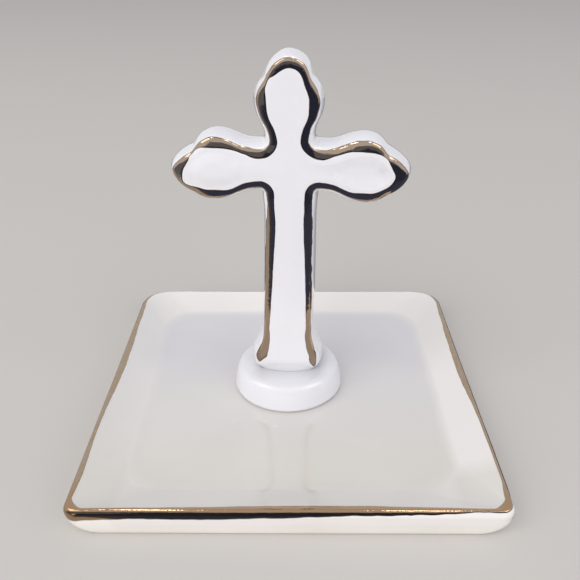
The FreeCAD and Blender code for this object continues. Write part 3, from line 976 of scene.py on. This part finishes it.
def face_cap(ring, first, next_free, size, outward):
    """A gently crowned face inside a ring of points: its new points and its triangles."""
    flat = ring[:, [0, 2]]
    step = 1.5 * MM
    xs = np.arange(flat[:, 0].min(), flat[:, 0].max(), step)
    zs = np.arange(flat[:, 1].min(), flat[:, 1].max(), step * 0.866)
    inner = np.array([(x + 0.5 * step * (row % 2), z) for row, z in enumerate(zs) for x in xs])
    ahead = np.roll(flat, -1, axis=0)
    inside = np.zeros(len(inner), bool)
    for (x0, z0), (x1, z1) in zip(flat, ahead):
        if z0 != z1:
            crosses = (z0 > inner[:, 1]) != (z1 > inner[:, 1])
            inside ^= crosses & (inner[:, 0] < (x1 - x0) * (inner[:, 1] - z0) / (z1 - z0) + x0)
    gap = np.min(np.linalg.norm(inner[:, None, :] - flat[None, :, :], axis=2), axis=1)
    keep = inside & (gap > 0.7 * step)
    inner, gap = inner[keep], gap[keep]
    count = len(flat)
    places = [Vector(place) for place in np.vstack([flat, inner])]
    edges = [(start, (start + 1) % count) for start in range(count)]
    _, _, triangles, origins, _, _ = geometry.delaunay_2d_cdt(places, edges, [], 1, 1e-9)
    index = [origin[0] for origin in origins]
    crown = size.face_crown * (1 - np.exp(-(gap / (2.2 * MM)) ** 2))
    points = np.stack([inner[:, 0], ring[:, 1].mean() + outward * crown, inner[:, 1]], axis=1)
    index = [first + corner if corner < count else next_free + corner - count for corner in index]
    return points, [tuple(index[corner] for corner in triangle) for triangle in triangles]


def cross_gold_edges(size, places):
    """The insets of the gold's inner and outer edges at each place round the cross."""
    x, z = places[:, 0], places[:, 2]
    up = z - size.axis_height
    side = rise(8, 11, np.abs(x))
    lobes = np.maximum(rise(12, 19, np.abs(x)), rise(11, 17, up))
    upper = side * rise(1, 4, up)
    under = side * rise(-1, -4, up)
    neck = upper * (1 - lobes)
    foot = rise(30, 17, z)
    left_foot = np.where(x < 0, rise(27, 16, z), 0)
    stem = rise(61, 55, z) * (1 - foot) * np.where(x < 0, 0.65, 0.3)
    inner = (0.35 * lobes - 0.15 * upper - 0.45 * neck - 0.25 * foot + 0.55 * left_foot + 0.25 * stem)
    outer = (0.15 + 0.45 * lobes + 0.3 * neck - 0.1 * under + 0.15 * foot + 0.15 * left_foot + stem)
    inner = size.face_inset + inner * MM
    outer = size.band_inset - outer * MM
    for spot_x, spot_z, spread, cut in THIN_SPOTS:
        inner -= cut * nearness(x, z, spot_x, spot_z, spread) * (inner - outer)
    return inner + 0.7 * brush_edge(places, 31), outer + 1.1 * brush_edge(places, 41)


class RINGDISH_OT_cross(bpy.types.Operator):
    """Make the glazed cross."""
    bl_idname = "ring_dish.cross"
    bl_label = "Make Cross"

    def execute(self, context):
        settings = context.scene.ring_dish
        surface, _, _ = cross_surface(settings.cross)
        rows, columns = surface.shape[:2]
        points = surface.reshape(-1, 3)
        faces = grid_faces(rows, columns)
        for row, outward in ((0, -1), (rows - 1, 1)):
            inner, cap = face_cap(surface[row], row * columns, len(points), settings.cross, outward)
            points = np.vstack([points, inner])
            faces += cap
        finish = settings.finish
        glaze = shared("cross_glaze", glaze_finish, finish.cross_white, finish.cross_cool)
        add_piece("glazed_cross", points, faces, glaze, "cross")
        return {"FINISHED"}


class RINGDISH_OT_cross_gold(bpy.types.Operator):
    """Paint the gold outline on the front of the cross."""
    bl_idname = "ring_dish.cross_gold"
    bl_label = "Paint Cross Gold"

    def execute(self, context):
        settings = context.scene.ring_dish
        size = settings.cross
        surface, profile, painted = cross_surface(size)
        front = (len(profile) + 1) // 2
        insets = profile[:front, 0]
        band = int(np.argmin(np.abs(insets - (size.band_inset + size.face_inset) / 2)))
        line = surface[band, :painted]
        ends = np.where(line[:, 0] < 0, GOLD_END_LEFT, GOLD_END_RIGHT)
        chosen = np.flatnonzero(line[:, 2] > ends)
        sheet = surface[:front, chosen]
        normals = grid_normals(surface, True)[:front, chosen]
        places = sheet[band]
        inner, outer = cross_gold_edges(size, places)
        close = 0.25 + 0.75 * smooth_step(0, 1.4 * MM, places[:, 2] - ends[chosen]) ** 0.5
        middle = inner + (outer - inner) * 0.55
        inner, outer = middle + (inner - middle) * close, middle + (outer - middle) * close
        travel = np.repeat(insets[::-1, None], len(chosen), axis=1)
        base, outward = between_edges(travel, sheet[::-1], normals[::-1], inner, outer, CROSS_GOLD_ROWS)
        outward *= np.where(outward[:, :, 1:2] < 0, 1, -1)
        points, faces, tint = painted_skin(base, outward, size.gold_thickness, False)
        finish = settings.finish
        gold = shared("painted_cross_gold", gold_finish, finish.cross_gold, finish.cross_worn)
        add_piece("painted_cross_outline", points, faces, gold, "cross_gold_outline", tint)
        return {"FINISHED"}


# Stage


def add_lamp(name, place, size, watts, tint, glint):
    """A soft square lamp that faces the dish and lights it, or only shows in it as a glint."""
    lamp = bpy.data.lights.new(name, "AREA")
    lamp.energy = watts
    lamp.color = tint
    lamp.shape = "SQUARE"
    lamp.size = size
    holder = bpy.data.objects.new(name, lamp)
    holder.location = place
    target = Vector((0, 0, 35 * MM))
    holder.rotation_euler = (target - Vector(place)).to_track_quat("-Z", "Y").to_euler()
    holder.visible_glossy = glint
    holder.visible_diffuse = not glint
    bpy.context.scene.collection.objects.link(holder)


def add_stage_mesh(name, points, faces, material):
    """A floor or card, which isn't part of the dish."""
    mesh = bpy.data.meshes.new(name)
    mesh.from_pydata([tuple(point) for point in points], [], faces)
    mesh.materials.append(material)
    made = bpy.data.objects.new(name, mesh)
    bpy.context.scene.collection.objects.link(made)
    return made


class RINGDISH_OT_stage(bpy.types.Operator):
    """Set the floor, the lamps, the surroundings and the camera."""
    bl_idname = "ring_dish.stage"
    bl_label = "Set Stage"

    def execute(self, context):
        scene = context.scene
        stage = scene.ring_dish.stage
        scene.view_settings.view_transform = "Standard"
        self.set_floor(stage)
        self.set_cards(stage)
        self.set_surroundings(scene, stage)
        for name, place, size, setting, tint, glint in LAMPS:
            add_lamp(name, place, size, getattr(stage, setting), tint, glint)
        self.set_camera(scene, stage)
        return {"FINISHED"}

    def set_floor(self, stage):
        """A wide plain floor."""
        made = Finish("floor_paint")
        tone = tuple(stage.floor_colour)
        cloud = made.noise(0.12, 3.0)
        made.set(made.shader, {
            "Base Color": made.blend(cloud, darker(tone, 0.985), tone),
            "Roughness": 0.9,
            "Specular IOR Level": 0.0,
        })
        reach, sides = 6.0, 64
        turns = np.arange(sides) * 2 * math.pi / sides
        points = [(reach * math.cos(turn), reach * math.sin(turn), 0) for turn in turns]
        add_stage_mesh("floor", points, [tuple(range(sides))], made.material)

    def set_cards(self, stage):
        """Dark and grey cards before the dish and a mat on three sides of it, which only reflections show."""
        near = 1.02 * CAD_BOX[1][1]
        mat_reach, mat_level = 0.45, 0.0003
        left_end, right_end = -0.50, 0.40
        foot, bend, brow, crown = (-0.125, 0.0006), (-0.127, 0.045), (-0.130, 0.094), (-0.130, 0.128)
        low, middle, high = [(-near, foot[1]), foot, bend], [bend, brow], [brow, crown]
        dark, grey = stage.card_colour, stage.side_card_colour
        sheets = []
        for name, tone, lefts, right, profile in (
            ("low_dark_card", dark, (-0.036, -0.075, -0.075), right_end, low),
            ("dark_card", dark, (-0.060, -0.060), right_end, middle),
            ("low_grey_card", grey, (left_end, left_end, left_end), -0.10, low),
            ("grey_card", grey, (left_end, left_end), -0.060, middle),
            ("high_grey_card", grey, (left_end, left_end), right_end, high),
        ):
            points = [(x, y, z) for left, (y, z) in zip(lefts, profile) for x in (left, right)]
            sheets.append((name, tone, points, grid_faces(len(profile), 2, 0, False)))
        inner = [(-0.040, -near), (near, -near), (near, near), (-near, near)]
        outer = [(x * mat_reach, y * mat_reach) for x, y in ((-1, -1), (1, -1), (1, 1), (-1, 1))]
        mat = [(x, y, mat_level) for x, y in inner + outer]
        sheets.append(("dark_mat", stage.mat_colour, mat, grid_faces(2, 4)[:3]))
        for name, tone, points, faces in sheets:
            made = Finish(name + "_paint")
            made.set(made.shader, {"Base Color": (*tone, 1), "Roughness": 0.9, "Specular IOR Level": 0.0})
            sheet = add_stage_mesh(name, points, faces, made.material)
            sheet.visible_camera = False
            sheet.visible_diffuse = False
            sheet.visible_shadow = False

    def set_surroundings(self, scene, stage):
        """Even soft light from all round, brighter where the camera or a reflection sees it."""
        world = bpy.data.worlds.new("surroundings")
        world.use_nodes = True
        nodes, links = world.node_tree.nodes, world.node_tree.links
        shade = nodes["Background"]
        shade.inputs["Color"].default_value = (*stage.sky_colour, 1)
        rays = nodes.new("ShaderNodeLightPath")
        seen = nodes.new("ShaderNodeMath")
        seen.operation = "MAXIMUM"
        links.new(rays.outputs["Is Camera Ray"], seen.inputs[0])
        links.new(rays.outputs["Is Glossy Ray"], seen.inputs[1])
        level = nodes.new("ShaderNodeMapRange")
        level.inputs["To Min"].default_value = stage.sky_strength
        links.new(seen.outputs[0], level.inputs["Value"])
        links.new(level.outputs[0], shade.inputs["Strength"])
        scene.world = world

    def set_camera(self, scene, stage):
        """The camera at the photograph's viewing angle."""
        turns = ((-stage.camera_yaw, "Z"), (math.pi / 2 - stage.camera_pitch, "X"), (-stage.camera_roll, "Z"))
        view = Matrix.Translation(stage.camera_place)
        for turn, axis in turns:
            view = view @ Matrix.Rotation(turn, 4, axis)
        lens = bpy.data.cameras.new("camera")
        lens.sensor_width = 36
        lens.lens = stage.camera_lens
        lens.clip_start = 0.005
        camera = bpy.data.objects.new("camera", lens)
        camera.matrix_world = view
        scene.collection.objects.link(camera)
        bpy.context.scene.camera = camera


class RINGDISH_PT_panel(bpy.types.Panel):
    """Lists the steps that make the ring dish."""
    bl_idname = "RINGDISH_PT_panel"
    bl_label = "Ring Dish"
    bl_space_type = "VIEW_3D"
    bl_region_type = "UI"
    bl_category = "Ring Dish"

    def draw(self, context):
        for step in STEPS:
            self.layout.operator(step.bl_idname)


STEPS = (
    RINGDISH_OT_tray,
    RINGDISH_OT_tray_gold,
    RINGDISH_OT_pedestal,
    RINGDISH_OT_bonds,
    RINGDISH_OT_cross,
    RINGDISH_OT_cross_gold,
    RINGDISH_OT_stage,
)
CLASSES = (
    RingDishTray, RingDishPedestal, RingDishCross, RingDishFinish, RingDishStage, RingDishSettings,
    *STEPS, RINGDISH_PT_panel,
)


def register():
    """Adds the classes and the scene's settings."""
    for made in CLASSES:
        bpy.utils.register_class(made)
    bpy.types.Scene.ring_dish = PointerProperty(type=RingDishSettings)


def unregister():
    """Takes the settings and the classes away."""
    del bpy.types.Scene.ring_dish
    for made in reversed(CLASSES):
        bpy.utils.unregister_class(made)


def main():
    """Makes every piece and sets the stage."""
    register()
    bpy.ops.ring_dish.tray()
    bpy.ops.ring_dish.tray_gold()
    bpy.ops.ring_dish.pedestal()
    bpy.ops.ring_dish.bonds()
    bpy.ops.ring_dish.cross()
    bpy.ops.ring_dish.cross_gold()
    bpy.ops.ring_dish.stage()


if __name__ == "__main__":
    main()
